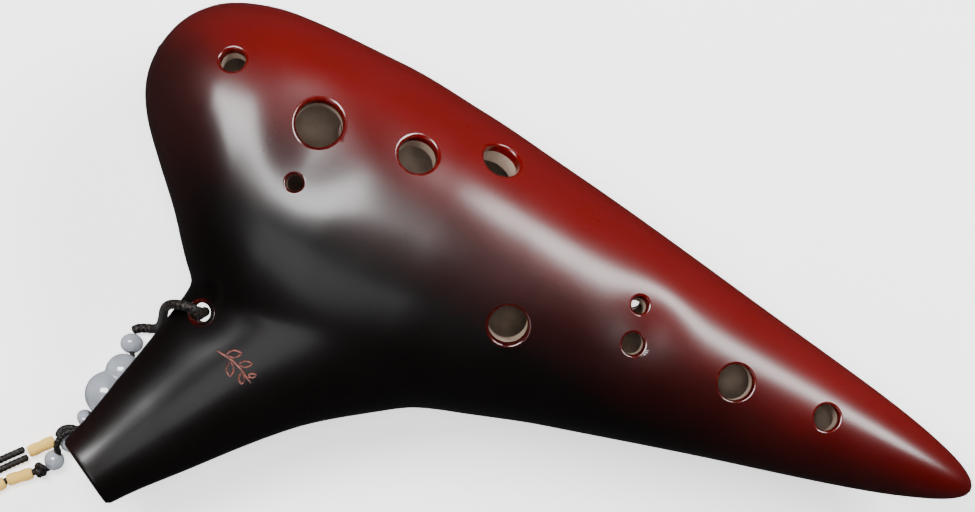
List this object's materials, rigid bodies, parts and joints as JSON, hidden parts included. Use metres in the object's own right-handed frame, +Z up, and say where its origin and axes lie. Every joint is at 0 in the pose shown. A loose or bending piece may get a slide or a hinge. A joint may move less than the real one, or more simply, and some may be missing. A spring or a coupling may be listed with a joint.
{
  "type": "ocarina",
  "caption": "Transverse sweet-potato ocarina in glazed ceramic, lying on its back, with a braided strap, stone bead charm and neck cord.",
  "frame": {"origin": "centre of the small flat ground on the belly, on which the ocarina rests", "axes": "+X along the chamber toward the tip, +Y away from the mouthpiece, +Z up, out of the playing face"},
  "size_m": [0.2355, 0.1406, 0.0517],
  "materials": {
    "glazed_face": "satin polished glaze, red shading to black",
    "glazed_back": "satin polished glaze, dark maroon",
    "jade": "polished translucent stone",
    "gold_thread": "shiny wound thread",
    "black_cord": "braided nylon cord"
  },
  "bodies": {
    "instrument": {"front_shell": "glazed_face", "back_shell": "glazed_back", "windway_cover": "glazed_back"},
    "strap": {"strap_cord": "black_cord", "button_bead": "jade", "charm_cord": "black_cord", "collar_bead": "jade", "hitch_cord": "black_cord", "tail_knot": "black_cord", "tail_end_knot": "black_cord", "gold_wrap_tail": "gold_thread", "gold_wrap_tail_end": "gold_thread"},
    "gourd": {"gourd_bead": "jade"},
    "spacer": {"spacer_bead": "jade"},
    "end_bead": {"end_bead": "jade"},
    "neck_cord": {"gold_wrap_neck": "gold_thread", "neck_cord_out": "black_cord", "neck_cord_back": "black_cord", "neck_coil": "black_cord", "coil_tie": "black_cord"}
  },
  "joints": [
    {"name": "strap_swing", "type": "hinge", "parent": "instrument", "child": "strap", "pos_m": [-0.0433, -0.0302, 0.0252], "axis": [0, 0, 1], "range_deg": [-30, 0]},
    {"name": "gourd_spin", "type": "hinge", "parent": "strap", "child": "gourd", "pos_m": [-0.0551, -0.0504, 0.0048], "axis": [-0.1903, -0.9785, 0.0801], "continuous": true},
    {"name": "spacer_spin", "type": "hinge", "parent": "strap", "child": "spacer", "pos_m": [-0.0583, -0.0636, 0.0042], "axis": [-0.2506, -0.9023, -0.3509], "continuous": true},
    {"name": "end_bead_spin", "type": "hinge", "parent": "strap", "child": "end_bead", "pos_m": [-0.0614, -0.0752, 0.00235], "axis": [-0.1018, -0.9468, -0.3054], "continuous": true},
    {"name": "neck_cord_swing", "type": "hinge", "parent": "strap", "child": "neck_cord", "pos_m": [-0.0631, -0.071, 0.00145], "axis": [0, 0, 1], "range_deg": [-30, 0]}
  ]
}
